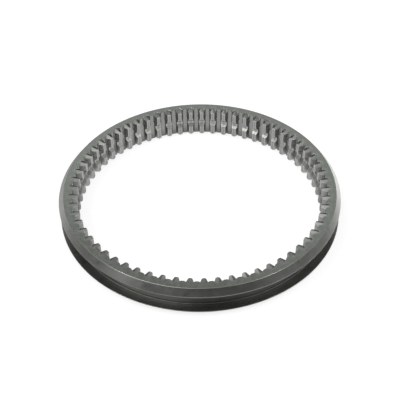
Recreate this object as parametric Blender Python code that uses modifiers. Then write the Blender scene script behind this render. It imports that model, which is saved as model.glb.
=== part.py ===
"""Gearbox sliding sleeve, one forged and machined steel ring.

The ring is turned first, with two flanges, bevelled rims and the shift fork's groove between
them. A broach then opens the toothed bore, a shallow detent groove is turned across the teeth at
mid height, and rolled pockets in the upper half narrow each tooth where the gear locks in. Last,
both ends of every tooth are pointed into a low roof.

The turning axis is +Z. The sleeve rests on its lower face at height zero, and one tooth faces -Y.
"""

import math

import bmesh
import bpy

MM = 0.001

# Radial sizes, from the rim inwards
OUTER_RADIUS = 70.0 * MM
GROOVE_DEPTH = 4.5 * MM
WEB_THICKNESS = 2.25 * MM
TOOTH_DEPTH = 2.45 * MM

# Axial sizes
GROOVE_WIDTH = 9.2 * MM
FLANGE_THICKNESS = 3.5 * MM

# Turned details
RIM_BEVEL_WIDTH = 2.5 * MM
RIM_LAND = 0.3 * MM
FACE_EDGE_BREAK = 0.25 * MM
GROOVE_FILLET = 0.6 * MM
FILLET_STEPS = 2
DETENT_DEPTH = 1.4 * MM
DETENT_FLOOR_WIDTH = 1.7 * MM
DETENT_MOUTH_WIDTH = 4.1 * MM

# Internal teeth
TOOTH_COUNT = 63
TOOTH_TIP_WIDTH = 2.36 * MM
FLANK_ANGLE = math.radians(20.0)

# Rolled pockets in the upper half of the flanks
POCKET_DEPTH_AT_FACE = 0.19 * MM
POCKET_DEPTH_AT_WAIST = 0.27 * MM
POCKET_ROOT_DEPTH = 0.35 * MM
POCKET_ROOT_WIDTH = 0.3 * MM
POCKET_FLARE_LENGTH = 1.1 * MM
POCKET_TO_DETENT = 0.4 * MM

# Pointed tooth ends
POINT_RUNOUT = 1.75 * MM
POINT_SHOULDER = 0.15 * MM
POINT_RIDGE_SLOPE = math.radians(8.7)
POINT_ROOF_SLOPE = math.radians(23.5)

# Cutters reach this far past the surfaces that they open, and pockets run out this far clear
CUT_CLEARANCE = 1.0 * MM
POCKET_SKIM = 0.04 * MM

# Flats round the turned outside; the detent groove has one flat for each tooth
RING_SEGMENTS = 120
FRONT_TURN = -math.pi / 2

STEEL_COLOUR = (0.33, 0.34, 0.33, 1.0)
STEEL_METALLIC = 0.9
STEEL_ROUGHNESS = 0.42
SHARP_ANGLE = math.radians(25.0)
MERGE_DISTANCE = 0.00001

HEIGHT = GROOVE_WIDTH + 2 * FLANGE_THICKNESS
FACE_RADIUS = OUTER_RADIUS - RIM_BEVEL_WIDTH
GROOVE_FLOOR_RADIUS = OUTER_RADIUS - GROOVE_DEPTH
ROOT_RADIUS = GROOVE_FLOOR_RADIUS - WEB_THICKNESS
TIP_RADIUS = ROOT_RADIUS - TOOTH_DEPTH
POINT_APEX_RADIUS = ROOT_RADIUS + POINT_RUNOUT
PITCH_ANGLE = 2 * math.pi / TOOTH_COUNT


def clear_scene():
    """Remove every object, so that the file holds the sleeve alone."""
    for item in list(bpy.data.objects):
        bpy.data.objects.remove(item, do_unlink=True)


def new_collection(name):
    """Add a collection to the scene and return it."""
    collection = bpy.data.collections.new(name)
    bpy.context.scene.collection.children.link(collection)
    return collection


def new_object(name, mesh, collection):
    """Put a mesh in the scene as an object that is turned so that tooth zero faces -Y."""
    item = bpy.data.objects.new(name, mesh)
    item.rotation_euler.z = FRONT_TURN
    collection.objects.link(item)
    return item


def steel_material():
    """Return the machined steel of the whole sleeve."""
    material = bpy.data.materials.new("machined_steel")
    material.use_nodes = True
    shader = material.node_tree.nodes["Principled BSDF"]
    shader.inputs["Base Color"].default_value = STEEL_COLOUR
    shader.inputs["Metallic"].default_value = STEEL_METALLIC
    shader.inputs["Roughness"].default_value = STEEL_ROUGHNESS
    return material


def fillet_points(centre, start_angle, end_angle):
    """Return the points of a groove fillet, as radius and height, along its arc."""
    points = []
    for step in range(FILLET_STEPS + 1):
        angle = start_angle + (end_angle - start_angle) * step / FILLET_STEPS
        radius = centre[0] + GROOVE_FILLET * math.cos(angle)
        height = centre[1] + GROOVE_FILLET * math.sin(angle)
        points.append((radius, height))
    return points


def outer_profile():
    """Return the outer side of the turned section, from the upper face down to the lower one."""
    flange_foot = HEIGHT - FLANGE_THICKNESS
    bevel_slope = RIM_BEVEL_WIDTH / (FLANGE_THICKNESS - RIM_LAND)
    fillet_centre = (GROOVE_FLOOR_RADIUS + GROOVE_FILLET, flange_foot - GROOVE_FILLET)
    upper = [
        (FACE_RADIUS - FACE_EDGE_BREAK, HEIGHT),
        (FACE_RADIUS + FACE_EDGE_BREAK * bevel_slope, HEIGHT - FACE_EDGE_BREAK),
        (OUTER_RADIUS, flange_foot + RIM_LAND),
        (OUTER_RADIUS, flange_foot),
    ]
    upper += fillet_points(fillet_centre, math.pi / 2, math.pi)
    lower = [(radius, HEIGHT - height) for radius, height in reversed(upper)]
    return upper + lower


def blank_bore_profile():
    """Return the undersized bore of the blank, from the lower face up to the upper one."""
    radius = TIP_RADIUS - CUT_CLEARANCE
    return [(radius, 0.0), (radius, HEIGHT)]


def detent_cutter_profile():
    """Return the section of the detent groove's cutter, whose sides run on past the tooth tips.

    Its flats, not its corners, lie at the stated radii, so that every tooth gets one flat floor.
    """
    flat_to_corner = 1 / math.cos(PITCH_ANGLE / 2)
    floor = (TIP_RADIUS + DETENT_DEPTH) * flat_to_corner
    clear = (TIP_RADIUS - CUT_CLEARANCE) * flat_to_corner
    middle = HEIGHT / 2
    half_floor = DETENT_FLOOR_WIDTH / 2
    side_slope = (DETENT_MOUTH_WIDTH - DETENT_FLOOR_WIDTH) / 2 / DETENT_DEPTH
    half_clear = half_floor + (DETENT_DEPTH + CUT_CLEARANCE) * side_slope
    return [
        (floor, middle + half_floor),
        (floor, middle - half_floor),
        (clear, middle - half_clear),
        (clear, middle + half_clear),
    ]


def turned_object(name, section, segments, start_angle, collection):
    """Turn a closed section, given as radii and heights, into a body about the axis."""
    count = len(section)
    cosine = math.cos(start_angle)
    sine = math.sin(start_angle)
    points = [(radius * cosine, radius * sine, height) for radius, height in section]
    edges = [(index, (index + 1) % count) for index in range(count)]
    mesh = bpy.data.meshes.new(name)
    mesh.from_pydata(points, edges, [])
    body = new_object(name, mesh, collection)
    screw = body.modifiers.new("turn", "SCREW")
    screw.steps = segments
    screw.render_steps = segments
    screw.use_merge_vertices = True
    screw.merge_threshold = MERGE_DISTANCE
    return body


def turned_blank(collection):
    """Return the turned ring before its bore and teeth are cut."""
    section = outer_profile() + blank_bore_profile()
    return turned_object("sliding_sleeve", section, RING_SEGMENTS, 0.0, collection)


def detent_cutter(collection):
    """Return the cutter of the detent groove, with its corners over the tooth spaces."""
    section = detent_cutter_profile()
    return turned_object("detent_cutter", section, TOOTH_COUNT, PITCH_ANGLE / 2, collection)


def point_at(radius, angle, height):
    """Return the point at a radius, an angle about the sleeve's axis, and a height."""
    return (radius * math.cos(angle), radius * math.sin(angle), height)


def tooth_half_width(radius, pocket):
    """Return half the width of a tooth at a radius along its centre line."""
    return TOOTH_TIP_WIDTH / 2 + (radius - TIP_RADIUS) * math.tan(FLANK_ANGLE) - pocket


def flank_points(radii, pocket):
    """Return points of a space's flank as radii and angles from the centre line of the space."""
    points = []
    for radius in radii:
        width = tooth_half_width(radius, pocket)
        from_tooth = math.atan2(width, radius)
        points.append((math.hypot(radius, width), PITCH_ANGLE / 2 - from_tooth))
    return points


def broach_section(height):
    """Return the outline of the whole toothed bore at one height, space by space."""
    flank = flank_points((ROOT_RADIUS, TIP_RADIUS), 0.0)
    space = [(radius, -angle) for radius, angle in reversed(flank)] + flank
    points = []
    for tooth in range(TOOTH_COUNT):
        centre = (tooth + 0.5) * PITCH_ANGLE
        for radius, angle in space:
            points.append(point_at(radius, centre + angle, height))
    return points


def pocket_section(height, depth, root_depth):
    """Return the outline of the flank pockets of one space, at one height.

    Each side runs down the deepened flank and back out of the root land, which stays as it is
    between the two pockets.
    """
    radii = (TIP_RADIUS - 2 * CUT_CLEARANCE, ROOT_RADIUS + root_depth)
    half = flank_points(radii, depth)
    land_angle = half[-1][1] - POCKET_ROOT_WIDTH / ROOT_RADIUS
    half.append((ROOT_RADIUS - POCKET_SKIM, land_angle))
    outline = half + [(radius, -angle) for radius, angle in reversed(half)]
    return [point_at(radius, angle, height) for radius, angle in outline]


def pocket_sections():
    """Return the sections of the flank pockets, from above the detent groove to past the face."""
    pocket_end = (HEIGHT + DETENT_MOUTH_WIDTH) / 2 + POCKET_TO_DETENT
    waist = pocket_end + POCKET_FLARE_LENGTH
    return [
        pocket_section(pocket_end, -POCKET_SKIM, -POCKET_SKIM),
        pocket_section(waist, POCKET_DEPTH_AT_WAIST, POCKET_ROOT_DEPTH),
        pocket_section(HEIGHT, POCKET_DEPTH_AT_FACE, POCKET_ROOT_DEPTH),
        pocket_section(HEIGHT + CUT_CLEARANCE, POCKET_DEPTH_AT_FACE, POCKET_ROOT_DEPTH),
    ]


def turned_about_axis(point, angle):
    """Return a point turned about the sleeve's axis."""
    x, y, z = point
    cosine = math.cos(angle)
    sine = math.sin(angle)
    return (x * cosine - y * sine, x * sine + y * cosine, z)


def add_loft(bm, sections):
    """Join sections of equal length into one closed body with flat ends."""
    rings = [[bm.verts.new(point) for point in section] for section in sections]
    count = len(rings[0])
    for lower, upper in zip(rings, rings[1:]):
        for index in range(count):
            after = (index + 1) % count
            bm.faces.new((lower[index], lower[after], upper[after], upper[index]))
    bm.faces.new(list(reversed(rings[0])))
    bm.faces.new(rings[-1])


def mesh_of(bm, name):
    """Turn a bmesh of closed bodies into a mesh whose faces point outwards."""
    bmesh.ops.recalc_face_normals(bm, faces=bm.faces)
    mesh = bpy.data.meshes.new(name)
    bm.to_mesh(mesh)
    bm.free()
    return mesh


def broach(collection):
    """Return the broach, one toothed bar that opens the whole bore from face to face."""
    bm = bmesh.new()
    add_loft(bm, [broach_section(-CUT_CLEARANCE), broach_section(HEIGHT + CUT_CLEARANCE)])
    return new_object("broach", mesh_of(bm, "broach"), collection)


def flank_pocket_cutter(collection):
    """Return a cutter that holds one lofted body for the two pockets of each tooth space."""
    bm = bmesh.new()
    sections = pocket_sections()
    for tooth in range(TOOTH_COUNT):
        angle = (tooth + 0.5) * PITCH_ANGLE
        add_loft(bm, [[turned_about_axis(point, angle) for point in ring] for ring in sections])
    return new_object("flank_pocket_cutter", mesh_of(bm, "flank_pockets"), collection)


def roof_drop(radius, offset):
    """Return how far the roof of a tooth end lies inside the face plane.

    The ridge leaves the face at the apex and sinks towards the tip, and the two roof facets
    fall away from it on either side.
    """
    along_ridge = (POINT_APEX_RADIUS - radius) * math.tan(POINT_RIDGE_SLOPE)
    across = abs(offset) * math.tan(POINT_ROOF_SLOPE)
    return along_ridge + across


def add_point_cutter(bm, angle, face_height, outward):
    """Add the five-sided body that points one tooth end, with a roof-shaped working side."""
    shoulder_radius = ROOT_RADIUS + POINT_SHOULDER
    half_width = tooth_half_width(shoulder_radius, 0.0)
    inner_radius = TIP_RADIUS - 2 * CUT_CLEARANCE
    outline = [
        (inner_radius, 0.0),
        (inner_radius, half_width),
        (shoulder_radius, half_width),
        (POINT_APEX_RADIUS, 0.0),
        (shoulder_radius, -half_width),
        (inner_radius, -half_width),
    ]
    roof = []
    back = []
    for radius, offset in outline:
        sunk = face_height - outward * roof_drop(radius, offset)
        clear = face_height + outward * CUT_CLEARANCE
        roof.append(bm.verts.new(turned_about_axis((radius, offset, sunk), angle)))
        back.append(bm.verts.new(turned_about_axis((radius, offset, clear), angle)))
    count = len(outline)
    for index in range(count):
        after = (index + 1) % count
        bm.faces.new((roof[index], roof[after], back[after], back[index]))
    bm.faces.new(roof[0:4])
    bm.faces.new([roof[0]] + roof[3:])
    bm.faces.new(back)


def tooth_point_cutter(collection):
    """Return the pointing cutters of every tooth, at the upper and the lower face."""
    bm = bmesh.new()
    for tooth in range(TOOTH_COUNT):
        add_point_cutter(bm, tooth * PITCH_ANGLE, HEIGHT, 1.0)
        add_point_cutter(bm, tooth * PITCH_ANGLE, 0.0, -1.0)
    return new_object("tooth_point_cutter", mesh_of(bm, "tooth_points"), collection)


def cut(body, cutter):
    """Take a cutter away from a body, and keep the cutter as a wire guide."""
    boolean = body.modifiers.new("cut_" + cutter.name, "BOOLEAN")
    boolean.operation = "DIFFERENCE"
    boolean.solver = "EXACT"
    boolean.object = cutter
    cutter.hide_render = True
    cutter.display_type = "WIRE"


def finish(body):
    """Fix the cut shape as the body's own mesh, shade it smooth and give it its steel."""
    bpy.context.view_layer.update()
    evaluated = body.evaluated_get(bpy.context.evaluated_depsgraph_get())
    shaped = bpy.data.meshes.new_from_object(evaluated)
    shaped.name = "sliding_sleeve"
    body.modifiers.clear()
    body.data = shaped
    shaped.materials.clear()
    shaped.materials.append(steel_material())
    shaped.shade_smooth()
    shaped.set_sharp_from_angle(angle=SHARP_ANGLE)


def build_sleeve():
    """Turn the ring, broach its teeth and point them."""
    clear_scene()
    parts = new_collection("gearbox_sliding_sleeve")
    cutters = new_collection("cutters")
    sleeve = turned_blank(parts)
    cut(sleeve, broach(cutters))
    cut(sleeve, detent_cutter(cutters))
    cut(sleeve, flank_pocket_cutter(cutters))
    cut(sleeve, tooth_point_cutter(cutters))
    finish(sleeve)


build_sleeve()
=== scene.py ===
"""Looks of a gearbox sliding sleeve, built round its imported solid.

One closed surface stands for the turned and broached ring. Inside, it is a grid: its columns
follow the teeth round the bore, and its rows follow the section from the face, down the pointed
tooth end, through the bore and out over the other face. Outside, a turned section is carried
round the axis on wider columns, and a fan of triangles on each flat face joins the two. Each way
of finishing the steel is a material of its own, and the studio stands for the light that the
steel reflects.

Sizes are in metres, written as millimetres times MM. The turning axis is +Z, the sleeve rests at
height zero, and tooth zero faces -Y.
"""

import logging
import math
from dataclasses import dataclass
from enum import Enum, IntEnum

import bpy
import numpy as np
from mathutils import Matrix, Vector


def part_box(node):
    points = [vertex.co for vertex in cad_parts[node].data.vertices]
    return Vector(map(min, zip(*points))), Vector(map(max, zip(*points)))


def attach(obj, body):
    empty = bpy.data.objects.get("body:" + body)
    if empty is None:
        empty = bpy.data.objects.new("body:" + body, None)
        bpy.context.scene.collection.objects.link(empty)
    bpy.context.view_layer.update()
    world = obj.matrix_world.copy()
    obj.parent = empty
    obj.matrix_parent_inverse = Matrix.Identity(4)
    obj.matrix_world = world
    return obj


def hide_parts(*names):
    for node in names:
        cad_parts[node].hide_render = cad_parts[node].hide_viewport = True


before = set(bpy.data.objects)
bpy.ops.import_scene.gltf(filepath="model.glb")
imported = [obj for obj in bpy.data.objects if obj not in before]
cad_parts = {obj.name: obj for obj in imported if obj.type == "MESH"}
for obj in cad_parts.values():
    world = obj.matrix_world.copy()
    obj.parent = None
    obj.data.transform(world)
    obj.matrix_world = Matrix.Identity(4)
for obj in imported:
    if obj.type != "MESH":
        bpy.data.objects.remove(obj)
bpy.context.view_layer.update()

Array = np.ndarray
Colour = tuple[float, float, float]
Span = tuple[float, float]
Socket = bpy.types.NodeSocket
LOG = logging.getLogger("sliding_sleeve")
MM = 0.001
# Attribute of the rubbed edges, which also paints a highlight on them.
WEAR_AND_GLINT_NAME = "edge_wear_and_glint"


class Column(IntEnum):
    """Grid columns of half a tooth pitch, from the tooth's centre to the middle of the space."""

    CENTRE = 0
    RIDGE_SIDE = 1
    TIP_EDGE = 2
    FLANK_EDGE = 3
    FLANK_MIDDLE = 4
    LEG_FOOT = 5
    FLANK_END = 6
    NOTCH = 7
    LAND_EDGE = 8
    SPACE_CENTRE = 9


class EndRow(IntEnum):
    """Grid rows of one tooth end, from the ring on the face in to the bore."""

    RING = 0
    FACE_EDGE = 1
    WALL_TOP = 2
    WALL_FOOT = 3
    ROOF_FOOT = 4
    ROOF_EDGE = 5
    BORE_EDGE = 6


class Surface(IntEnum):
    """Material slots of the sleeve: the ways its steel was finished, a darker copy painting shade into the
    groove, and lighter copies painting light onto the steps and onto the flanks, which are also rubbed.
    """

    FACE = 0
    TURNED = 1
    GROOVE = 2
    BROACHED = 3
    POINTED = 4
    BURNISHED = 5
    STEP = 6


class Lay(Enum):
    """Direction in which a tool left its marks."""

    CIRCULAR = "circular"
    AXIAL = "axial"
    NONE = "none"


def smooth_share(values: Array, start: float, end: float) -> Array:
    """Return a smooth step.

    The share s runs from 0 at start to 1 at end, and the result is 3 s squared less 2 s cubed.

    Args:
        values: Positions along the step.
        start: Position where the step leaves 0.
        end: Position where the step reaches 1.

    Returns:
        The step's height at each position.
    """
    share = np.clip((values - start) / (end - start), 0.0, 1.0)
    return share * share * (3.0 - 2.0 * share)


def rounded_section(corners: Array, radii: Array, steps: int) -> Array:
    """Round the corners of an open section.

    Each arc touches both legs at the radius times the tangent of half the turn from the corner.

    Args:
        corners: Section points as rows of radius and height.
        radii: Fillet radius of each inner corner.
        steps: Segments of each arc.

    Returns:
        The rounded section as rows of radius and height.
    """
    rounded = [corners[:1]]
    for before, corner, after, radius in zip(corners, corners[1:], corners[2:], radii):
        leg_in = (corner - before) / np.linalg.norm(corner - before)
        leg_out = (after - corner) / np.linalg.norm(after - corner)
        turn = math.acos(float(np.clip(leg_in @ leg_out, -1.0, 1.0)))
        side = (leg_out - leg_in) / np.linalg.norm(leg_out - leg_in)
        along = (leg_in + leg_out) / np.linalg.norm(leg_in + leg_out)
        centre = corner + side * radius / math.cos(turn / 2.0)
        angles = np.linspace(-turn / 2.0, turn / 2.0, steps + 1)
        rounded.append(centre + radius * (np.outer(np.sin(angles), along) - np.outer(np.cos(angles), side)))
    rounded.append(corners[-1:])
    return np.concatenate(rounded)


@dataclass(frozen=True)
class SleeveSizes:
    """Driving sizes of the sleeve's section, and what follows from them."""

    outer_radius: float
    height: float
    groove_depth: float = 4.5 * MM
    web_thickness: float = 2.25 * MM
    tooth_depth: float = 2.45 * MM
    flange_thickness: float = 3.5 * MM
    rim_bevel_width: float = 2.5 * MM
    rim_land: float = 0.3 * MM
    joint_ring_inset: float = 4.3 * MM

    @property
    def groove_radius(self) -> float:
        """Radius of the fork groove's floor."""
        return self.outer_radius - self.groove_depth

    @property
    def root_radius(self) -> float:
        """Radius of the lands between the teeth, on a tooth's centre line."""
        return self.groove_radius - self.web_thickness

    @property
    def tip_radius(self) -> float:
        """Radius of the tooth tips."""
        return self.root_radius - self.tooth_depth

    @property
    def ring_radius(self) -> float:
        """Radius of the ring on each face that joins the toothed grid to the turned outside."""
        return self.outer_radius - self.joint_ring_inset


@dataclass(frozen=True)
class TurnedOutside:
    """The outside of the ring, turned from one section: faces, bevelled rims and fork groove."""

    sizes: SleeveSizes
    columns: int
    face_break: float = 0.28 * MM
    rim_break: float = 0.11 * MM
    groove_fillet: float = 0.6 * MM
    face_start: float = 0.35 * MM
    flat_tolerance: float = 0.001 * MM
    arc_steps: int = 4
    # Rubbing of three edges of the section, which also paints a highlight on each.
    face_wear_and_glint: float = 0.45
    rim_wear_and_glint: float = 0.8
    mouth_wear_and_glint: float = 0.5

    def section(self) -> Array:
        """Return the section from the upper face to the lower, as rows of radius and height."""
        sizes = self.sizes
        flange_foot = sizes.height - sizes.flange_thickness
        upper = np.array([
            (sizes.ring_radius + self.face_start, sizes.height),
            (sizes.outer_radius - sizes.rim_bevel_width, sizes.height),
            (sizes.outer_radius, flange_foot + sizes.rim_land),
            (sizes.outer_radius, flange_foot),
            (sizes.groove_radius, flange_foot),
        ])
        lower = upper[::-1] * (1.0, -1.0) + (0.0, sizes.height)
        radii = [self.face_break, self.rim_break, self.rim_break, self.groove_fillet]
        return rounded_section(np.concatenate([upper, lower]), np.array(radii + radii[::-1]), self.arc_steps)

    def grid(self) -> Array:
        """Carry the section round the axis.

        Returns:
            Points by row and column: radius times cosine, radius times sine, and height.
        """
        section = self.section()
        angles = -math.pi / 2 + 2.0 * math.pi * np.arange(self.columns) / self.columns
        radii, heights = section[:, :1], section[:, 1:]
        parts = (radii * np.cos(angles), radii * np.sin(angles), heights + 0.0 * angles)
        return np.stack(parts, axis=-1)

    def surfaces(self) -> Array:
        """Return the material slot of each band between two rows of the section.

        The end faces are the flat bands outside the groove. The groove's floor and fillets get a
        darker copy of the turned steel, which paints its shade, and all else, with the flanges' sides in the
        groove, is turned.
        """
        section = self.section()
        middle = (section[1:] + section[:-1]) / 2.0
        from_middle = np.abs(middle[:, 1] - self.sizes.height / 2.0)
        half_groove = self.sizes.height / 2.0 - self.sizes.flange_thickness
        flat = np.abs(section[1:, 1] - section[:-1, 1]) < self.flat_tolerance
        slots = np.full(len(middle), int(Surface.TURNED))
        slots[flat & (from_middle > half_groove + self.rim_break)] = int(Surface.FACE)
        # Darker copy of the turned steel: painted shade in the groove.
        slots[~flat & (from_middle < half_groove)] = int(Surface.GROOVE)
        return slots

    def wear_and_glint(self) -> Array:
        """Return how much each row of the section is rubbed bright, which also paints a highlight on it.

        The edge of the face, both edges of the rim's land and no groove fillet are rubbed, with a
        painted highlight. The first and last row of an arc keep none, so that none spreads over the flat
        bands.
        """
        arc = np.r_[0.0, np.ones(self.arc_steps - 1), 0.0]
        corners = np.array([self.face_wear_and_glint, self.rim_wear_and_glint, self.mouth_wear_and_glint, 0.0])
        half = np.concatenate([[0.0], np.outer(corners, arc).ravel()])
        return np.concatenate([half, half[::-1]])


@dataclass(frozen=True)
class SplineBore:
    """The broached teeth: their section at any height, and the grid that follows it."""

    sizes: SleeveSizes
    tooth_count: int = 63
    tip_width: float = 2.36 * MM
    flank_angle: float = math.radians(20.0)
    edge_break: float = 0.09 * MM
    ridge_half_width: float = 0.10 * MM
    pocket_depth_at_face: float = 0.19 * MM
    pocket_depth_at_waist: float = 0.27 * MM
    pocket_root_depth: float = 0.35 * MM
    pocket_root_width: float = 0.30 * MM
    pocket_flare_length: float = 1.1 * MM
    pocket_to_detent: float = 0.4 * MM
    root_fillet: float = 0.14 * MM
    notch_round: float = 0.05 * MM
    leg_foot_inset: float = 0.24 * MM
    detent_depth: float = 1.4 * MM
    detent_floor_width: float = 1.7 * MM
    detent_mouth_width: float = 4.1 * MM
    top_row_depth: float = 2.2 * MM
    flare_rows: tuple[float, ...] = (1.4, 1.0, 0.83, 0.66, 0.5, 0.34, 0.17, 0.0)
    low_rows: tuple[float, ...] = (0.83, 0.62, 0.4)

    @property
    def pitch(self) -> float:
        """Angle from one tooth to the next."""
        return 2.0 * math.pi / self.tooth_count

    @property
    def pocket_end(self) -> float:
        """Height at which the rolled pockets run out, above the detent groove."""
        return (self.sizes.height + self.detent_mouth_width) / 2.0 + self.pocket_to_detent

    def pocket_share(self, heights: Array) -> Array:
        """Return 0 on the plain flanks below the pockets and 1 from their waist upwards."""
        return smooth_share(heights, self.pocket_end, self.pocket_end + self.pocket_flare_length)

    def pocket_depth(self, heights: Array) -> Array:
        """Return how far the pockets stand behind the plain flanks.

        Above the waist the depth falls in a straight line to its value at the face, and the
        share of the pocket scales it down to nothing below.

        Args:
            heights: Heights above the lower face.

        Returns:
            The depth at each height.
        """
        waist = self.pocket_end + self.pocket_flare_length
        along = np.clip((heights - waist) / (self.sizes.height - waist), 0.0, 1.0)
        change = self.pocket_depth_at_face - self.pocket_depth_at_waist
        return self.pocket_share(heights) * (self.pocket_depth_at_waist + change * along)

    def tip_radius(self, heights: Array) -> Array:
        """Return the radius of the tips, which the detent groove deepens at mid height.

        The groove's section is a trapezoid: full depth over its floor, none past its mouth, and
        a straight line between them.

        Args:
            heights: Heights above the lower face.

        Returns:
            The radius at each height.
        """
        from_middle = np.abs(heights - self.sizes.height / 2.0)
        half_floor = self.detent_floor_width / 2.0
        half_mouth = self.detent_mouth_width / 2.0
        share = np.clip((half_mouth - from_middle) / (half_mouth - half_floor), 0.0, 1.0)
        return self.sizes.tip_radius + self.detent_depth * share

    def half_section(self, heights: Array) -> tuple[Array, Array]:
        """Work out the columns of half a tooth pitch.

        The flank's offset grows with the radius by the tangent of the flank angle, less the
        pocket. The tip lies on a circle about the axis, and so does the land in the space. Where
        there is no pocket, a small slope fills the corner at the root, and in a pocket the same
        three columns make its notch.

        Args:
            heights: Height of each column's point, as rows of one value for each column.

        Returns:
            Each point's distance along the tooth's centre line, and its distance from that line.
        """
        sizes = self.sizes
        share = self.pocket_share(heights)
        depth = self.pocket_depth(heights)
        tip = self.tip_radius(heights)
        slope = math.tan(self.flank_angle)

        flank_end = sizes.root_radius - self.root_fillet + share * (self.root_fillet + self.pocket_root_depth)
        leg_foot = flank_end - self.leg_foot_inset
        flank_start = tip + self.edge_break
        along = np.empty_like(heights)
        along[:, Column.FLANK_EDGE] = flank_start[:, Column.FLANK_EDGE]
        along[:, Column.FLANK_MIDDLE] = ((flank_start + leg_foot) / 2.0)[:, Column.FLANK_MIDDLE]
        along[:, Column.LEG_FOOT] = leg_foot[:, Column.LEG_FOOT]
        along[:, Column.FLANK_END] = flank_end[:, Column.FLANK_END]
        across = self.tip_width / 2.0 + (along - sizes.tip_radius) * slope - depth

        corner = self.tip_width / 2.0 + (tip - sizes.tip_radius) * slope - depth
        across[:, Column.CENTRE] = 0.0
        across[:, Column.RIDGE_SIDE] = self.ridge_half_width
        across[:, Column.TIP_EDGE] = (corner - self.edge_break)[:, Column.TIP_EDGE]
        on_tip = slice(Column.CENTRE, Column.FLANK_EDGE)
        along[:, on_tip] = np.sqrt(tip[:, on_tip] ** 2 - across[:, on_tip] ** 2)

        land = slice(Column.NOTCH, Column.SPACE_CENTRE + 1)
        end_across = self.tip_width / 2.0 + (flank_end - sizes.tip_radius) * slope - depth
        end_angle = np.arctan2(end_across, flank_end)[:, land]
        end_radius = np.hypot(end_across, flank_end)[:, land]
        land_radius = math.hypot(sizes.root_radius, self.tip_width / 2.0 + sizes.tooth_depth * slope)
        gap = self.root_fillet + share[:, land] * (self.pocket_root_width - self.root_fillet)
        edge_angle = end_angle + gap / land_radius
        middle = np.full(len(heights), self.pitch / 2.0)
        angles = np.stack([(end_angle + edge_angle)[:, 0] / 2.0, edge_angle[:, 1], middle], axis=1)
        radii = np.full_like(angles, land_radius)
        radii[:, 0] = (end_radius[:, 0] + land_radius) / 2.0 + share[:, Column.NOTCH] * self.notch_round
        along[:, land] = radii * np.cos(angles)
        across[:, land] = radii * np.sin(angles)
        return along, across

    def row_heights(self) -> Array:
        """Return the heights of the bore's rows, from high to low, closest where it bends.

        The rows of the pockets' flare are shares of its length above the pockets' end. The low
        rows are shares of the height of the detent groove's lower rim.
        """
        middle = self.sizes.height / 2.0
        bend = self.edge_break
        half_mouth = self.detent_mouth_width / 2.0
        half_floor = self.detent_floor_width / 2.0
        waist = self.pocket_end + self.pocket_flare_length
        top = self.sizes.height - self.top_row_depth
        groove = np.array([half_mouth + bend, half_mouth - bend, half_floor + bend, half_floor - bend])
        return np.concatenate([
            [top, (top + waist) / 2.0],
            self.pocket_end + self.pocket_flare_length * np.array(self.flare_rows),
            middle + groove,
            [middle],
            middle - groove[::-1],
            np.array(self.low_rows) * (middle - half_mouth),
        ])


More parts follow.
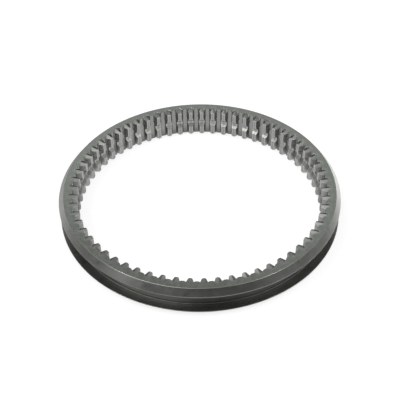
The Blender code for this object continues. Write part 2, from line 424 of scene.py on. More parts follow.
@dataclass(frozen=True)
class ToothEnds:
    """The pointed, roof-shaped end of each tooth, at one face of the sleeve.

    Towards the apex the point narrows to nothing. There each small break is held to a share of
    the length or height that is left.
    """

    bore: SplineBore
    face_height: float
    outward: float
    runout: float = 1.75 * MM
    ridge_slope: float = math.radians(8.7)
    roof_slope: float = math.radians(23.5)
    leg_clearance: float = 0.12 * MM
    leg_chamfer: float = 0.17 * MM
    wall_draft: float = 0.02 * MM
    foot_fillet: float = 0.05 * MM
    edge_share: float = 0.3
    foot_share: float = 0.1
    wall_foot_share: float = 0.2
    chamfer_share: float = 0.45
    first_depth: float = 1.0 * MM
    depth_rounds: int = 6

    def drop(self, along: Array, across: Array) -> Array:
        """Return the roof's depth under the face.

        It is the way in from the apex times the ridge's slope, plus the way from the centre line
        times the roof's slope.

        Args:
            along: Distance along the tooth's centre line from the sleeve's axis.
            across: Distance from that line.

        Returns:
            The depth at each place.
        """
        apex = self.bore.sizes.root_radius + self.runout
        return (apex - along) * math.tan(self.ridge_slope) + across * math.tan(self.roof_slope)

    def height_at(self, depth: Array) -> Array:
        """Return the height of points that lie at a depth under this face."""
        return self.face_height - self.outward * depth

    def edge_points(self) -> tuple[Array, Array, Array]:
        """Find where the roof meets the bore, by rounds in which each depth gives the next one.

        Returns:
            Distance along and across the tooth, and depth, of each column's edge.
        """
        depth = np.full((1, len(Column)), self.first_depth)
        for _ in range(self.depth_rounds):
            along, across = self.bore.half_section(self.height_at(depth))
            depth = self.drop(along, across)
            depth[:, Column.FLANK_END:] = depth[:, Column.LEG_FOOT][:, None]
        return along[0], across[0], depth[0]

    def rows(self) -> tuple[Array, Array, Array]:
        """Work out the rows of the end, from the ring on the face in to the bore.

        On the tooth, the rows run in over the face, down the wall along the point's leg and in
        over the roof. Beside it, on the land, the same rows run down the land's own surface, level
        with the foot of the leg.

        Returns:
            Distance along and across the tooth, and height, by row and column.
        """
        bore = self.bore
        edge_along, edge_across, edge_depth = self.edge_points()
        apex = bore.sizes.root_radius + self.runout
        foot_along = edge_along[Column.LEG_FOOT] + self.leg_clearance
        leg = apex - (apex - foot_along) * edge_across / edge_across[Column.LEG_FOOT]
        length = leg - edge_along
        wall = self.drop(leg, edge_across)
        land = slice(Column.FLANK_END, len(Column))

        along = np.zeros((len(EndRow), len(Column)))
        across = np.tile(edge_across, (len(EndRow), 1))
        depth = np.zeros_like(along)
        along[EndRow.ROOF_EDGE] = edge_along + np.minimum(bore.edge_break, self.edge_share * length)
        along[EndRow.ROOF_FOOT] = leg - np.minimum(self.foot_fillet, self.foot_share * length)
        roof = slice(EndRow.ROOF_FOOT, EndRow.BORE_EDGE)
        depth[roof] = self.drop(along[roof], across[roof])
        along[EndRow.WALL_FOOT] = leg
        depth[EndRow.WALL_FOOT] = wall - np.minimum(self.foot_fillet, self.wall_foot_share * wall)
        along[EndRow.WALL_TOP] = leg + self.wall_draft
        depth[EndRow.WALL_TOP] = np.minimum(self.leg_chamfer, self.chamfer_share * wall)
        along[EndRow.FACE_EDGE] = leg + self.wall_draft + self.leg_chamfer
        depth[EndRow.BORE_EDGE] = edge_depth + bore.edge_break

        depth[EndRow.WALL_TOP:, land] = depth[EndRow.WALL_TOP:, Column.LEG_FOOT][:, None]
        depth[EndRow.WALL_TOP, land] = bore.edge_break
        heights = self.height_at(depth)
        bore_along, bore_across = bore.half_section(heights)
        down = slice(EndRow.WALL_TOP, EndRow.BORE_EDGE)
        along[down, land] = bore_along[down, land]
        across[down, land] = bore_across[down, land]
        along[EndRow.BORE_EDGE] = bore_along[EndRow.BORE_EDGE]
        across[EndRow.BORE_EDGE] = bore_across[EndRow.BORE_EDGE]

        top_along, top_across = along[EndRow.WALL_TOP, land], across[EndRow.WALL_TOP, land]
        outwards = 1.0 + bore.edge_break / np.hypot(top_along, top_across)
        along[EndRow.FACE_EDGE, land] = top_along * outwards
        across[EndRow.FACE_EDGE, land] = top_across * outwards
        to_ring = bore.sizes.ring_radius / np.hypot(along[EndRow.FACE_EDGE], across[EndRow.FACE_EDGE])
        along[EndRow.RING] = along[EndRow.FACE_EDGE] * to_ring
        across[EndRow.RING] = across[EndRow.FACE_EDGE] * to_ring
        return along, across, heights


@dataclass(frozen=True)
class RingMesh:
    """Points, faces, material slots and rubbing, with its painted highlight, of the finished surface."""

    points: Array
    quads: Array
    triangles: Array
    quad_slots: Array
    triangle_slots: Array
    wear_and_glint: Array

    def point_normals(self) -> Array:
        """Return a normal for each point, in which large faces count most.

        A face's weighted normal is its area vector times its area, and a point's normal is the
        sum over its faces. So flat faces stay flat and the narrow edge breaks turn the light.
        """
        quad = self.points[self.quads]
        quad_vectors = np.cross(quad[:, 2] - quad[:, 0], quad[:, 3] - quad[:, 1])
        triangle = self.points[self.triangles]
        triangle_vectors = np.cross(triangle[:, 1] - triangle[:, 0], triangle[:, 2] - triangle[:, 0])
        total = np.zeros_like(self.points)
        for faces, vectors in ((self.quads, quad_vectors), (self.triangles, triangle_vectors)):
            weighted = vectors * np.linalg.norm(vectors, axis=1, keepdims=True)
            for corner in range(faces.shape[1]):
                np.add.at(total, faces[:, corner], weighted)
        return total / np.linalg.norm(total, axis=1, keepdims=True)

    def to_object(self, name: str) -> bpy.types.Object:
        """Put the surface into a new object at the origin.

        Args:
            name: Name of the object and its mesh.

        Returns:
            The object, smooth shaded, with the rubbing and painted highlight of each point in an attribute.
        """
        mesh = bpy.data.meshes.new(name)
        mesh.vertices.add(len(self.points))
        mesh.vertices.foreach_set("co", self.points.astype(np.float32).ravel())
        loops = np.concatenate([self.quads.ravel(), self.triangles.ravel()])
        totals = np.concatenate([np.full(len(self.quads), 4), np.full(len(self.triangles), 3)])
        starts = np.concatenate([[0], np.cumsum(totals)[:-1]])
        mesh.loops.add(len(loops))
        mesh.loops.foreach_set("vertex_index", loops.astype(np.int32))
        mesh.polygons.add(len(totals))
        mesh.polygons.foreach_set("loop_start", starts.astype(np.int32))
        slots = np.concatenate([self.quad_slots, self.triangle_slots])
        mesh.polygons.foreach_set("material_index", slots.astype(np.int32))
        mesh.update(calc_edges=True)
        mesh.shade_smooth()
        mesh.normals_split_custom_set_from_vertices(self.point_normals())
        attribute = mesh.attributes.new(WEAR_AND_GLINT_NAME, "FLOAT", "POINT")
        attribute.data.foreach_set("value", self.wear_and_glint.astype(np.float32))
        piece = bpy.data.objects.new(name, mesh)
        bpy.context.scene.collection.objects.link(piece)
        return piece


def grid_quads(rows: int, columns: int, start: int, flip: bool) -> Array:
    """Return the faces of a grid that closes on itself sideways.

    Face (i, j) joins points (i, j), (i, j+1), (i+1, j+1) and (i+1, j), where j counts round.

    Args:
        rows: Number of rows of points.
        columns: Number of points in each row.
        start: Index of the grid's first point.
        flip: Whether the faces are wound the other way.

    Returns:
        Point indices, four to a face, row by row.
    """
    row, column = np.meshgrid(np.arange(rows - 1), np.arange(columns), indexing="ij")
    after = (column + 1) % columns
    corners = [row * columns + column, row * columns + after,
               (row + 1) * columns + after, (row + 1) * columns + column]
    quads = start + np.stack(corners, axis=-1).reshape(-1, 4)
    return quads[:, ::-1] if flip else quads


@dataclass(frozen=True)
class SlidingSleeve:
    """The whole sleeve: toothed bore, two sets of pointed tooth ends, and turned outside."""

    sizes: SleeveSizes
    outer_columns_per_tooth: int = 6
    slanted_share: float = 0.6
    # Rubbing of the tooth edges, which also paints a highlight on them.
    tip_edge_wear_and_glint: float = 0.3
    face_edge_wear_and_glint: float = 0.3
    step_edge_wear_and_glint: float = 1.0
    roof_edge_wear_and_glint: float = 0.7

    def bore_grid(self) -> tuple[Array, Array, Array]:
        """Stack the upper ends, the bore and the lower ends into one grid of half a tooth.

        Near an end, the first bore row is blended between the slanting edge of the roof and the
        level rows, so that the rows never cross.

        Returns:
            Distance along and across the tooth, and height, by row and column.
        """
        bore = SplineBore(self.sizes)
        upper = ToothEnds(bore, self.sizes.height, 1.0).rows()
        lower = ToothEnds(bore, 0.0, -1.0).rows()
        level = np.tile(bore.row_heights()[:, None], (1, len(Column)))
        slanted = self.slanted_share
        upper_blend = slanted * upper[2][-1:] + (1.0 - slanted) * level[:1]
        lower_blend = slanted * lower[2][-1:] + (1.0 - slanted) * level[-1:]
        heights = np.concatenate([upper_blend, level, lower_blend])
        along, across = bore.half_section(heights)
        return (
            np.concatenate([upper[0], along, lower[0][::-1]]),
            np.concatenate([upper[1], across, lower[1][::-1]]),
            np.concatenate([upper[2], heights, lower[2][::-1]]),
        )

    def whole_round(self, half: tuple[Array, Array, Array]) -> Array:
        """Mirror half a tooth and turn it to every tooth's place.

        A point at a along and b across a tooth at angle t lies at a cos t - b sin t in X and
        a sin t + b cos t in Y.

        Args:
            half: Distance along, distance across and height of half a tooth.

        Returns:
            Points by row and column, round the whole bore.
        """
        along, across, heights = half
        mirror = slice(Column.SPACE_CENTRE - 1, 0, -1)
        full_along = np.concatenate([along[:, mirror], along], axis=1)[:, None, :]
        full_across = np.concatenate([-across[:, mirror], across], axis=1)[:, None, :]
        full_heights = np.concatenate([heights[:, mirror], heights], axis=1)[:, None, :]
        count = SplineBore(self.sizes).tooth_count
        angles = (-math.pi / 2 + 2.0 * math.pi * np.arange(count) / count)[None, :, None]
        x = full_along * np.cos(angles) - full_across * np.sin(angles)
        y = full_along * np.sin(angles) + full_across * np.cos(angles)
        z = full_heights + 0.0 * angles
        return np.stack([x, y, z], axis=-1).reshape(len(along), -1, 3)

    def bore_slots(self, heights: Array) -> Array:
        """Choose the finish of each face of the bore's grid.

        The lower slope of the detent groove and the flanks are rubbed by the detents and the
        gears, and are also painted lighter, as a highlight on the slope and to lift the shade between the
        teeth. The rest of the bore is as broached. The bands of each end, from the ring inwards, are the
        face, the step below the face, which is painted lighter to lift its shade, and the pointed roof.

        Args:
            heights: Height of each point of half a tooth, by row and column.

        Returns:
            Material slot by row and half column.
        """
        bore = SplineBore(self.sizes)
        rows = len(heights)
        centre = (heights[1:, Column.CENTRE] + heights[:-1, Column.CENTRE]) / 2.0
        below_middle = self.sizes.height / 2.0 - centre
        past_floor = below_middle > bore.detent_floor_width / 2.0
        inside_mouth = below_middle < bore.detent_mouth_width / 2.0
        slots = np.full((rows - 1, len(Column) - 1), int(Surface.BROACHED))
        # Lower slope of the detent groove: rubbed, and painted lighter as a highlight.
        slots[past_floor & inside_mouth, :Column.FLANK_EDGE] = int(Surface.BURNISHED)
        # Flanks: rubbed, and painted lighter to lift the shade between the teeth.
        slots[:, Column.FLANK_EDGE:Column.FLANK_END] = int(Surface.BURNISHED)
        face = EndRow.WALL_TOP
        roof = EndRow.ROOF_FOOT
        end = len(EndRow) - 1
        bands = (
            (0, face, len(Column), Surface.FACE),
            # The step below the face is painted lighter, to lift its shade.
            (face, roof, Column.FLANK_END, Surface.STEP),
            (roof, end, Column.FLANK_END, Surface.POINTED),
        )
        for start, stop, columns, surface in bands:
            for band in (slice(start, stop), slice(rows - 1 - stop, rows - 1 - start)):
                slots[band, :columns] = int(surface)
        return slots

    def bore_wear_and_glint(self, rows: int) -> Array:
        """Work out how much the teeth are rubbed bright and painted with a highlight, from 0 to 1.

        The edges of the tips are rubbed over their whole length, and each end has its rubbed rows. All of
        them also get a painted highlight.

        Args:
            rows: Number of rows of the bore's grid.

        Returns:
            Rubbing, with its painted highlight, of half a tooth, by row and column.
        """
        wear_and_glint = np.zeros((rows, len(Column)))
        wear_and_glint[:, Column.TIP_EDGE:Column.FLANK_MIDDLE] = self.tip_edge_wear_and_glint
        worn_and_glinting_rows = (
            (EndRow.FACE_EDGE, self.face_edge_wear_and_glint),
            (EndRow.WALL_TOP, self.step_edge_wear_and_glint),
            (EndRow.ROOF_EDGE, self.roof_edge_wear_and_glint),
            (EndRow.BORE_EDGE, self.roof_edge_wear_and_glint),
        )
        for row, level in worn_and_glinting_rows:
            wear_and_glint[[row, rows - 1 - row], :Column.FLANK_END] = level
        return wear_and_glint

    def fan(self, inner: Array, outer: Array, up: bool) -> Array:
        """Join two rings on a flat face, where the inner one has a whole multiple of points.

        Every inner step makes a triangle with the nearer outer point, and every outer step makes
        one with the inner point in its middle.

        Args:
            inner: Point indices of the inner ring.
            outer: Point indices of the outer ring.
            up: Whether the face looks up.

        Returns:
            Point indices, three to a triangle.
        """
        ratio = len(inner) // len(outer)
        step = np.arange(len(inner))
        nearest = ((step + ratio // 2) // ratio) % len(outer)
        after = (step + 1) % len(inner)
        small = np.stack([inner[step], outer[nearest], inner[after]], axis=1)
        span = np.arange(len(outer))
        middle = (span * ratio + ratio - ratio // 2) % len(inner)
        wide = np.stack([inner[middle], outer[span], outer[(span + 1) % len(outer)]], axis=1)
        triangles = np.concatenate([small, wide])
        return triangles if up else triangles[:, ::-1]

    def mesh(self) -> RingMesh:
        """Join the bore's grid and the turned outside into one closed surface."""
        half = self.bore_grid()
        inside = self.whole_round(half)
        rows, columns = inside.shape[:2]
        teeth = SplineBore(self.sizes).tooth_count
        outside = TurnedOutside(self.sizes, teeth * self.outer_columns_per_tooth)
        rim = outside.grid()
        rim_rows, rim_columns = rim.shape[:2]
        start = rows * columns

        from_tooth = np.roll(np.arange(columns), 1 - Column.SPACE_CENTRE)
        rim_ring = start + np.arange(rim_columns)
        upper = self.fan(from_tooth, rim_ring, up=True)
        lower = self.fan((rows - 1) * columns + from_tooth, (rim_rows - 1) * rim_columns + rim_ring, up=False)

        slots = self.bore_slots(half[2])
        full_slots = np.tile(np.concatenate([slots[:, ::-1], slots], axis=1), (1, teeth))
        full_slots = np.roll(full_slots, -1, axis=1)
        wear_and_glint = self.bore_wear_and_glint(rows)
        mirror = slice(Column.SPACE_CENTRE - 1, 0, -1)
        full_wear_and_glint = np.tile(np.concatenate([wear_and_glint[:, mirror], wear_and_glint], axis=1), (1, teeth))
        return RingMesh(
            points=np.concatenate([inside.reshape(-1, 3), rim.reshape(-1, 3)]),
            quads=np.concatenate([
                grid_quads(rows, columns, 0, flip=False),
                grid_quads(rim_rows, rim_columns, start, flip=True),
            ]),
            triangles=np.concatenate([upper, lower]),
            quad_slots=np.concatenate([full_slots.ravel(), np.repeat(outside.surfaces(), rim_columns)]),
            triangle_slots=np.full(len(upper) + len(lower), int(Surface.FACE)),
            wear_and_glint=np.concatenate([full_wear_and_glint.ravel(), np.repeat(outside.wear_and_glint(), rim_columns)]),
        )

    def build(self) -> bpy.types.Object:
        """Make the sleeve's piece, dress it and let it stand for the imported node."""
        piece = self.mesh().to_object("machined_sleeve")
        for surface in Surface:
            piece.data.materials.append(FINISHES[surface].material())
        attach(piece, "root")
        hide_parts("sliding_sleeve")
        return piece


class NodeSheet:
    """A node tree that is being drawn: it adds nodes and joins them with few words."""

    def __init__(self, tree: bpy.types.NodeTree) -> None:
        """Start on an empty tree.

        Args:
            tree: Tree whose nodes are cleared.
        """
        self.tree = tree
        tree.nodes.clear()

    def add(self, kind: str, **settings: object) -> bpy.types.Node:
        """Add a node.

        Args:
            kind: The node's type name, without its ShaderNode start.
            **settings: Properties of the node.

        Returns:
            The new node.
        """
        node = self.tree.nodes.new("ShaderNode" + kind)
        for name, value in settings.items():
            setattr(node, name, value)
        return node

    def put(self, socket: Socket, value: object) -> None:
        """Give a socket a link, if the value is an output, or else a fixed value.

        Args:
            socket: Socket of a node in this tree.
            value: Another node's output, a number, a vector or a colour.
        """
        if isinstance(value, bpy.types.NodeSocket):
            self.tree.links.new(value, socket)
        else:
            socket.default_value = value

    def math(self, operation: str, *values: object) -> Socket:
        """Add a Math node.

        Args:
            operation: Name of the node's operation.
            *values: Numbers or outputs that it works on.

        Returns:
            The node's result.
        """
        node = self.add("Math", operation=operation)
        for socket, value in zip(node.inputs, values):
            self.put(socket, value)
        return node.outputs[0]

    def product(self, *factors: object) -> Socket:
        """Multiply several numbers or outputs.

        Args:
            *factors: The first is an output, and each of the others an output or a number.

        Returns:
            Their product.
        """
        total = factors[0]
        for factor in factors[1:]:
            total = self.math("MULTIPLY", total, factor)
        return total

    def combine(self, x: object, y: object, z: object) -> Socket:
        """Make a vector.

        Args:
            x: First part, a number or an output.
            y: Second part.
            z: Third part.

        Returns:
            The vector.
        """
        node = self.add("CombineXYZ")
        for socket, value in zip(node.inputs, (x, y, z)):
            self.put(socket, value)
        return node.outputs[0]

    def ramp(self, value: object, span: Span, low: object = 0.0, high: object = 1.0) -> Socket:
        """Return a smooth ramp between two levels.

        Args:
            value: What the ramp is read at.
            span: Values at which the ramp leaves its low level and reaches its high one.
            low: Level before the span.
            high: Level after it.

        Returns:
            The ramp's level.
        """
        node = self.add("MapRange", interpolation_type="SMOOTHSTEP")
        names = ("Value", "From Min", "From Max", "To Min", "To Max")
        for name, given in zip(names, (value, *span, low, high)):
            self.put(node.inputs[name], given)
        return node.outputs[0]

    def noise(self, vector: Socket, scale: float, detail: float) -> Socket:
        """Add a noise pattern.

        Args:
            vector: Where the pattern is read.
            scale: How many of its bumps go to a metre.
            detail: How many finer layers it has.

        Returns:
            The pattern's height, about one half.
        """
        node = self.add("TexNoise")
        self.put(node.inputs["Vector"], vector)
        node.inputs["Scale"].default_value = scale
        node.inputs["Detail"].default_value = detail
        return node.outputs[0]

    def tone(self, noise: Socket, contrast: float) -> Socket:
        """Return a factor that swings about one with a noise, by the contrast in all."""
        return self.math("MULTIPLY_ADD", noise, contrast, 1.0 - contrast / 2.0)

    def place(self, coordinate: str) -> tuple[Socket, Socket, Socket]:
        """Split a texture coordinate.

        Args:
            coordinate: Name of the Texture Coordinate output.

        Returns:
            Its X, Y and Z parts.
        """
        split = self.add("SeparateXYZ")
        self.put(split.inputs[0], self.add("TexCoord").outputs[coordinate])
        return tuple(split.outputs)

    def radius(self, x: Socket, y: Socket) -> Socket:
        """Return the distance from the axis, the root of the sum of both squares."""
        squares = self.math("ADD", self.math("MULTIPLY", x, x), self.math("MULTIPLY", y, y))
        return self.math("SQRT", squares)

    def mix(self, share: object, first: object, second: object) -> Socket:
        """Blend two colours.

        Args:
            share: Share of the second colour.
            first: Colour at a share of 0.
            second: Colour at a share of 1.

        Returns:
            The blend.
        """
        node = self.add("Mix", data_type="RGBA", clamp_factor=False)
        self.put(node.inputs[0], share)
        self.put(node.inputs[6], first)
        self.put(node.inputs[7], second)
        return node.outputs[2]


@dataclass(frozen=True)
class SteelFinish:
    """A way in which a surface of the steel was finished, with the marks that it left.

    The marks are noise that is stretched along the lay. The mottle is soft noise without a
    direction, from hardening and washing, and it moves the roughness too. Rubbed edges are
    smoother, and brighter in a colour that also paints a highlight on them.
    """

    name: str
    colour: Colour
    roughness: float
    lay: Lay
    mark_spacing: float
    mark_depth: float
    mark_contrast: float
    mottle_size: float
    mottle_contrast: float
    # Colour of rubbed edges, bright enough to paint a highlight on them.
    edge_wear_and_glint_colour: Colour = (0.60, 0.605, 0.59)
    anisotropy: float = 0.0
    anisotropic_turn: float = 0.25
    grazing_tint: Colour = (0.75, 0.75, 0.75)
    circular_drift: float = 0.004
    axial_stretch: float = 0.03
    mark_detail: float = 2.0
    mottle_detail: float = 4.0
    roughness_spread: float = 0.16
    worn_smoothing: float = 0.1

    def mark_vector(self, sheet: NodeSheet, place: Socket) -> Socket:
        """Work out the vector that the tool marks are read at.

        Circular marks depend on the radius and the height, axial marks on the place across the
        axis, and both drift a little along their own length.

        Args:
            sheet: Node tree that is being drawn.
            place: The piece's object coordinates.

        Returns:
            The vector.
        """
        if self.lay is Lay.NONE:
            return place
        split = sheet.add("SeparateXYZ")
        sheet.put(split.inputs[0], place)
        x, y, z = split.outputs
        if self.lay is Lay.AXIAL:
            return sheet.combine(x, y, sheet.math("MULTIPLY", z, self.axial_stretch))
        drift = sheet.math("MULTIPLY", sheet.math("ADD", x, y), self.circular_drift)
        return sheet.combine(sheet.radius(x, y), z, drift)

    def material(self) -> bpy.types.Material:
        """Return the finish as a material on object coordinates."""
        material = bpy.data.materials.new(self.name)
        material.use_nodes = True
        sheet = NodeSheet(material.node_tree)
        shader = sheet.add("BsdfPrincipled")
        output = sheet.add("OutputMaterial")
        sheet.put(output.inputs["Surface"], shader.outputs[0])
        place = sheet.add("TexCoord").outputs["Object"]
        marks = sheet.noise(self.mark_vector(sheet, place), 1.0 / self.mark_spacing, self.mark_detail)
        mottle = sheet.noise(place, 1.0 / self.mottle_size, self.mottle_detail)
        # How much an edge is rubbed; its bright colour also paints a highlight there.
        worn_and_glinting = sheet.add("Attribute", attribute_name=WEAR_AND_GLINT_NAME).outputs["Fac"]

        tone = sheet.product(
            sheet.tone(marks, self.mark_contrast),
            sheet.tone(mottle, self.mottle_contrast))
        toned = sheet.mix(tone, (0.0, 0.0, 0.0, 1.0), (*self.colour, 1.0))
        sheet.put(shader.inputs["Base Color"], sheet.mix(worn_and_glinting, toned, (*self.edge_wear_and_glint_colour, 1.0)))
        shader.inputs["Metallic"].default_value = 1.0
        shader.inputs["Specular Tint"].default_value = (*self.grazing_tint, 1.0)
        smoothest = self.roughness - self.roughness_spread / 2.0
        rough = sheet.math("MULTIPLY_ADD", mottle, self.roughness_spread, smoothest)
        sheet.put(shader.inputs["Roughness"], sheet.math("MULTIPLY_ADD", worn_and_glinting, -self.worn_smoothing, rough))
        if self.anisotropy:
            shader.inputs["Anisotropic"].default_value = self.anisotropy
            shader.inputs["Anisotropic Rotation"].default_value = self.anisotropic_turn
            tangent = sheet.add("Tangent", direction_type="RADIAL", axis="Z")
            sheet.put(shader.inputs["Tangent"], tangent.outputs[0])
        bump = sheet.add("Bump")
        bump.inputs["Distance"].default_value = self.mark_depth
        bump.inputs["Strength"].default_value = 1.0
        sheet.put(bump.inputs["Height"], marks)
        sheet.put(shader.inputs["Normal"], bump.outputs[0])
        return material


FINISHES: dict[Surface, SteelFinish] = {
    Surface.FACE: SteelFinish(
        name="hardened_face", colour=(0.375, 0.403, 0.362), roughness=0.24, lay=Lay.NONE,
        mark_spacing=0.35 * MM, mark_depth=0.006 * MM, mark_contrast=0.24,
        mottle_size=2.2 * MM, mottle_contrast=0.45),
    Surface.TURNED: SteelFinish(
        name="turned_bevel", colour=(0.38, 0.384, 0.365), roughness=0.30, lay=Lay.CIRCULAR,
        mark_spacing=0.35 * MM, mark_depth=0.0025 * MM, mark_contrast=0.18,
        mottle_size=3.0 * MM, mottle_contrast=0.15, anisotropy=0.35),
    # Turned steel painted darker, as the shade inside the fork groove.
    Surface.GROOVE: SteelFinish(
        name="turned_groove_painted_shade", colour=(0.20, 0.203, 0.193), roughness=0.33, lay=Lay.CIRCULAR,
        mark_spacing=0.35 * MM, mark_depth=0.0025 * MM, mark_contrast=0.18,
        mottle_size=3.0 * MM, mottle_contrast=0.15, anisotropy=0.35),
    Surface.BROACHED: SteelFinish(
        name="broached_teeth", colour=(0.238, 0.238, 0.231), roughness=0.23, lay=Lay.AXIAL,
        mark_spacing=0.16 * MM, mark_depth=0.006 * MM, mark_contrast=0.2,
        mottle_size=1.3 * MM, mottle_contrast=0.4),
    Surface.POINTED: SteelFinish(
        name="pointed_ends", colour=(0.345, 0.36, 0.333), roughness=0.27, lay=Lay.NONE,
        mark_spacing=0.3 * MM, mark_depth=0.005 * MM, mark_contrast=0.16,
        mottle_size=1.5 * MM, mottle_contrast=0.25),
    # Broached steel painted lighter: rubbed, and lifting the shade between the teeth.
    Surface.BURNISHED: SteelFinish(
        name="flanks_rubbed_and_painted_light", colour=(0.38, 0.38, 0.37), roughness=0.33, lay=Lay.AXIAL,
        mark_spacing=0.16 * MM, mark_depth=0.006 * MM, mark_contrast=0.2,
        mottle_size=1.2 * MM, mottle_contrast=0.45),
    # Pale steel on the step walls, painted lighter to lift the shade in them.
    Surface.STEP: SteelFinish(
        name="steps_painted_light", colour=(0.60, 0.61, 0.59), roughness=0.5, lay=Lay.NONE,
        mark_spacing=0.3 * MM, mark_depth=0.005 * MM, mark_contrast=0.16,
        mottle_size=1.5 * MM, mottle_contrast=0.25),
}


@dataclass(frozen=True)
class SoftBox:
    """A rectangular lamp that looks at the sleeve, placed by its direction and distance."""

    name: str
    azimuth: float
    elevation: float
    distance: float
    width: float
    height: float
    power: float

    def build(self, target: Vector) -> bpy.types.Object:
        """Hang the lamp.

        Args:
            target: Point that the lamp faces.

        Returns:
            The lamp's object.
        """
        data = bpy.data.lights.new(self.name, "AREA")
        data.shape = "RECTANGLE"
        data.size = self.width
        data.size_y = self.height
        data.energy = self.power
        lamp = bpy.data.objects.new(self.name, data)
        level = math.cos(self.elevation)
        x, y = math.cos(self.azimuth) * level, math.sin(self.azimuth) * level
        toward = Vector((x, y, math.sin(self.elevation)))
        lamp.location = target + toward * self.distance
        lamp.rotation_mode = "QUATERNION"
        lamp.rotation_quaternion = toward.to_track_quat("Z", "Y")
        bpy.context.scene.collection.objects.link(lamp)
        return lamp


LAMPS: tuple[SoftBox, ...] = (
    SoftBox(
        name="soft_box_left", azimuth=math.radians(222), elevation=math.radians(52),
        distance=1.3, width=1.0, height=0.5, power=2.7),
    SoftBox(
        name="soft_box_right", azimuth=math.radians(328), elevation=math.radians(52),
        distance=1.3, width=0.75, height=0.45, power=1.1),
    SoftBox(
        name="strip_left", azimuth=math.radians(210), elevation=math.radians(29),
        distance=1.3, width=0.4, height=0.7, power=0.3),
    SoftBox(
        name="edge_light_left", azimuth=math.radians(190), elevation=math.radians(60),
        distance=1.3, width=0.25, height=0.25, power=0.65),
    SoftBox(
        name="edge_light_right", azimuth=math.radians(350), elevation=math.radians(62),
        distance=1.3, width=0.25, height=0.25, power=0.8),
)


@dataclass(frozen=True)
class GlowingFloor:
    """The pale floor, which is white to the camera, and whose uneven glow in the steel's reflections paints
    pools of light and the ring's shadow.

    Levels are strengths of its glow in reflections. Spans are places in metres, in X, in Y or in
    distance from the axis, where a smooth ramp leaves one level and reaches the next.
    """

    half_width: float = 20.0
    gap: float = 0.05 * MM
    colour: Colour = (0.45, 0.45, 0.45)
    white: float = 0.8
    bore_left: float = 1.1
    bore_middle: float = 0.88
    bore_right: float = 1.1
    bore_front: float = 0.45
    bore_foot_shadow: float = 0.6
    bore_left_span: Span = (-0.05, 0.0)
    bore_right_span: Span = (0.025, 0.055)
    bore_front_span: Span = (-0.005, 0.02)
    bore_foot_shadow_span: Span = (0.0575, 0.0605)
    bore_end_span: Span = (0.0625, 0.0640)
    # Painted pools of light near the ring, far brighter at the right.
    near_left: float = 0.56
    near_right: float = 2.4
    beyond_left: float = 1.1
    beyond_right: float = 0.75
    far: float = 0.1
    # Least glow in reflections, which paints the ring's shadow under and beside it.
    under: float = 0.1
    across_span: Span = (-0.1, 0.1)
    rim_shadow_span: Span = (0.076, 0.100)
    beyond_span: Span = (0.1, 0.15)
    far_span: Span = (0.16, 0.24)

    def bore_pool(self, sheet: NodeSheet, x: Socket, y: Socket, radius: Socket) -> Socket:
        """Work out the glow inside the bore.

        It is a painted pool of light across the bore, less at the front and less again at the foot of the
        teeth, where it paints their shadow.

        Args:
            sheet: Node tree that is being drawn.
            x: Place across the picture.
            y: Place away from the camera.
            radius: Distance from the axis.

        Returns:
            The level, which ends at the roots of the teeth.
        """
        level = sheet.ramp(x, self.bore_left_span, self.bore_left, self.bore_middle)
        level = sheet.ramp(x, self.bore_right_span, level, self.bore_right)
        front = sheet.ramp(y, self.bore_front_span, self.bore_front, 1.0)
        foot = sheet.ramp(radius, self.bore_foot_shadow_span, 1.0, self.bore_foot_shadow)
        end = sheet.ramp(radius, self.bore_end_span, 1.0, 0.0)
        return sheet.product(level, front, foot, end)

    def outer_pool(self, sheet: NodeSheet, x: Socket, radius: Socket) -> Socket:
        """Work out the glow round the ring.

        It starts at the rim, changes from near to beyond, and fades to the far level. The rim's
        ramp scales all of it, and paints the ring's shadow beside it. The near level at the right is a
        painted pool of light.

        Args:
            sheet: Node tree that is being drawn.
            x: Place across the picture.
            radius: Distance from the axis.

        Returns:
            The level.
        """
        near = sheet.ramp(x, self.across_span, self.near_left, self.near_right)
        beyond = sheet.ramp(x, self.across_span, self.beyond_left, self.beyond_right)
        level = sheet.ramp(radius, self.beyond_span, near, beyond)
        level = sheet.ramp(radius, self.far_span, level, self.far)
        return sheet.product(level, sheet.ramp(radius, self.rim_shadow_span))

    def material(self) -> bpy.types.Material:
        """Return the floor's material: matte grey, plus white for the camera and painted pools of light and
        shadow for reflections.
        """
        material = bpy.data.materials.new("pale_floor")
        material.use_nodes = True
        sheet = NodeSheet(material.node_tree)
        matte = sheet.add("BsdfDiffuse")
        matte.inputs["Color"].default_value = (*self.colour, 1.0)
        path = sheet.add("LightPath")
        x, y, _ = sheet.place("Object")
        radius = sheet.radius(x, y)
        pools = sheet.math("MAXIMUM", self.bore_pool(sheet, x, y, radius), self.outer_pool(sheet, x, radius))
        # The least glow keeps the painted shadow of the ring.
        pools = sheet.math("MAXIMUM", pools, self.under)
        reflected = sheet.math("MAXIMUM", path.outputs["Is Glossy Ray"], path.outputs["Is Transmission Ray"])
        direct = sheet.math("MULTIPLY", path.outputs["Is Camera Ray"], self.white)
        glow = sheet.add("Emission")
        sheet.put(glow.inputs["Strength"], sheet.math("MULTIPLY_ADD", reflected, pools, direct))
        both = sheet.add("AddShader")
        sheet.put(both.inputs[0], matte.outputs[0])
        sheet.put(both.inputs[1], glow.outputs[0])
        output = sheet.add("OutputMaterial")
        sheet.put(output.inputs["Surface"], both.outputs[0])
        return material

    def build(self) -> bpy.types.Object:
        """Lay the floor just under the sleeve, as a plate that belongs to the stage."""
        half = self.half_width
        corners = [(-half, -half), (half, -half), (half, half), (-half, half)]
        mesh = bpy.data.meshes.new("floor")
        mesh.from_pydata([(x, y, -self.gap) for x, y in corners], [], [(0, 1, 2, 3)])
        mesh.materials.append(self.material())
        plate = bpy.data.objects.new("floor", mesh)
        bpy.context.scene.collection.objects.link(plate)
        return plate


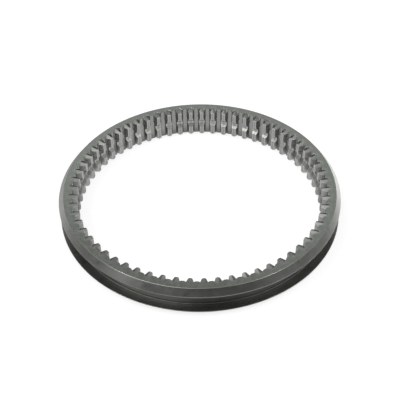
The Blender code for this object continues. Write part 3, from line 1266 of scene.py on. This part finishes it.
@dataclass(frozen=True)
class StudioRoom:
    """The soft light all round the sleeve, as a world that depends on the direction alone.

    Spans are values of the direction's X, Y or Z part where a smooth ramp leaves one level and
    reaches the next. The walls are dim on the camera's side and paler beyond the sleeve.
    """

    walls_front: float = 0.08
    walls_back: float = 0.30
    walls_span: Span = (-0.7, 0.7)
    back_panel: float = 0.42
    left_panel: float = 0.48
    left_panel_span: Span = (-0.18, -0.08)
    panel_foot_span: Span = (0.35, 0.55)
    panel_top_span: Span = (0.635, 0.675)
    right_glow: float = 0.32
    right_glow_span: Span = (0.0, 0.2)
    right_glow_foot_span: Span = (0.6, 0.7)
    behind_span: Span = (0.5, 0.7)
    low_glow: float = 0.05
    low_glow_top_span: Span = (0.05, 0.2)
    low_glow_back_span: Span = (0.15, 0.5)
    low_glow_right_span: Span = (0.4, 0.6)
    side_panels: float = 0.5
    side_span: Span = (0.5, 0.8)
    side_foot_span: Span = (0.25, 0.5)
    canopy_left: float = 1.0
    canopy_right: float = 0.5
    canopy_span: Span = (-0.3, 0.25)
    canopy_front: float = 0.7
    canopy_front_span: Span = (-0.5, -0.1)
    canopy_edge_span: Span = (0.71, 0.85)
    canopy_tilt: float = 0.12

    def behind(self, sheet: NodeSheet, x: Socket, y: Socket, z: Socket) -> Socket:
        """Work out the light behind the sleeve: a band of panels, and a glow over its right.

        Args:
            sheet: Node tree that is being drawn.
            x: The direction's part across the picture.
            y: Its part away from the camera.
            z: Its part upwards.

        Returns:
            The level, which adds to the walls.
        """
        panels = sheet.ramp(x, self.left_panel_span, self.left_panel, 0.0)
        panels = sheet.product(
            sheet.math("ADD", panels, self.back_panel),
            sheet.ramp(z, self.panel_foot_span),
            sheet.ramp(z, self.panel_top_span, 1.0, 0.0))
        glow = sheet.product(
            sheet.ramp(x, self.right_glow_span, 0.0, self.right_glow),
            sheet.ramp(z, self.right_glow_foot_span))
        return sheet.product(sheet.math("ADD", panels, glow), sheet.ramp(y, self.behind_span))

    def sides(self, sheet: NodeSheet, x: Socket, y: Socket, z: Socket) -> Socket:
        """Work out the light at the sides: a panel on each, and a faint low glow at the right.

        Args:
            sheet: Node tree that is being drawn.
            x: The direction's part across the picture.
            y: Its part away from the camera.
            z: Its part upwards.

        Returns:
            The level, which adds to the walls.
        """
        panels = sheet.product(
            sheet.ramp(sheet.math("ABSOLUTE", x), self.side_span, 0.0, self.side_panels),
            sheet.ramp(z, self.side_foot_span))
        low = sheet.product(
            sheet.ramp(y, self.low_glow_back_span),
            sheet.ramp(z, self.low_glow_top_span, self.low_glow, 0.0),
            sheet.ramp(x, self.low_glow_right_span))
        return sheet.math("ADD", panels, low)

    def build(self) -> bpy.types.World:
        """Make the world.

        Above a line that climbs with the Y part, a smooth step blends the walls to the canopy,
        which is brightest at the left and dimmer over the camera.

        Returns:
            The world, which the scene now has.
        """
        world = bpy.data.worlds.new("room")
        bpy.context.scene.world = world
        world.use_nodes = True
        sheet = NodeSheet(world.node_tree)
        x, y, z = sheet.place("Generated")
        walls = sheet.ramp(y, self.walls_span, self.walls_front, self.walls_back)
        walls = sheet.math("ADD", walls, self.behind(sheet, x, y, z))
        walls = sheet.math("ADD", walls, self.sides(sheet, x, y, z))
        canopy = sheet.product(
            sheet.ramp(x, self.canopy_span, self.canopy_left, self.canopy_right),
            sheet.ramp(y, self.canopy_front_span, self.canopy_front, 1.0))
        overhead = sheet.math("MULTIPLY_ADD", y, -self.canopy_tilt, z)
        background = sheet.add("Background")
        light = sheet.ramp(overhead, self.canopy_edge_span, walls, canopy)
        sheet.put(background.inputs["Strength"], light)
        output = sheet.add("OutputWorld")
        sheet.put(output.inputs["Surface"], background.outputs[0])
        return world


@dataclass(frozen=True)
class Studio:
    """The pale floor, the room's soft light and the lamps."""

    floor: GlowingFloor = GlowingFloor()
    room: StudioRoom = StudioRoom()
    lamps: tuple[SoftBox, ...] = LAMPS

    def build(self, target: Vector) -> None:
        """Set up the floor, the room and every lamp round a point, and report each.

        Args:
            target: Point that the lamps face.
        """
        LOG.info("stage: %s", self.floor.build().name)
        LOG.info("world: %s", self.room.build().name)
        for lamp in self.lamps:
            LOG.info("lamp: %s", lamp.build(target).name)


@dataclass(frozen=True)
class PhotoCamera:
    """The camera at the photograph's place, which looks down on the sleeve from the front.

    Its aim is a point in the plane of the upper face. The turn is about the sleeve's axis, and
    the roll about the line of sight.
    """

    face_height: float
    aim_right: float = 0.09 * MM
    aim_back: float = -11.1 * MM
    distance: float = 383.0 * MM
    elevation: float = 0.7511
    turn: float = -0.0236
    roll: float = -0.0120
    focal_in_pixels: float = 786.1
    image_width: float = 400.0
    sensor_width: float = 36.0
    clip_start: float = 0.02
    clip_end: float = 100.0

    def build(self) -> bpy.types.Object:
        """Make the camera and give it to the scene."""
        data = bpy.data.cameras.new("photo_camera")
        data.sensor_width = self.sensor_width
        data.lens = self.focal_in_pixels * self.sensor_width / self.image_width
        data.clip_start = self.clip_start
        data.clip_end = self.clip_end
        camera = bpy.data.objects.new("photo_camera", data)
        back = Vector((0.0, -math.cos(self.elevation), math.sin(self.elevation)))
        aim = Vector((self.aim_right, self.aim_back, self.face_height))
        upright = Matrix.Rotation(math.pi / 2 - self.elevation, 4, "X")
        pose = Matrix.Translation(aim + back * self.distance) @ upright @ Matrix.Rotation(self.roll, 4, "Z")
        camera.matrix_world = Matrix.Rotation(self.turn, 4, "Z") @ pose
        bpy.context.scene.collection.objects.link(camera)
        bpy.context.scene.camera = camera
        return camera


def main() -> None:
    """Build the sleeve, its studio and its camera, and report each."""
    logging.basicConfig(level=logging.INFO, format="%(name)s: %(message)s")
    low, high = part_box("sliding_sleeve")
    sizes = SleeveSizes(outer_radius=(high.x - low.x) / 2.0, height=high.z - low.z)
    sleeve = SlidingSleeve(sizes).build()
    LOG.info("%s: %d faces", sleeve.name, len(sleeve.data.polygons))
    Studio().build(Vector((0.0, 0.0, sizes.height / 2.0)))
    camera = PhotoCamera(face_height=sizes.height).build()
    LOG.info("%s: %.1f mm lens", camera.name, camera.data.lens)
    bpy.context.scene.view_settings.view_transform = "Standard"


if __name__ == "__main__":
    main()
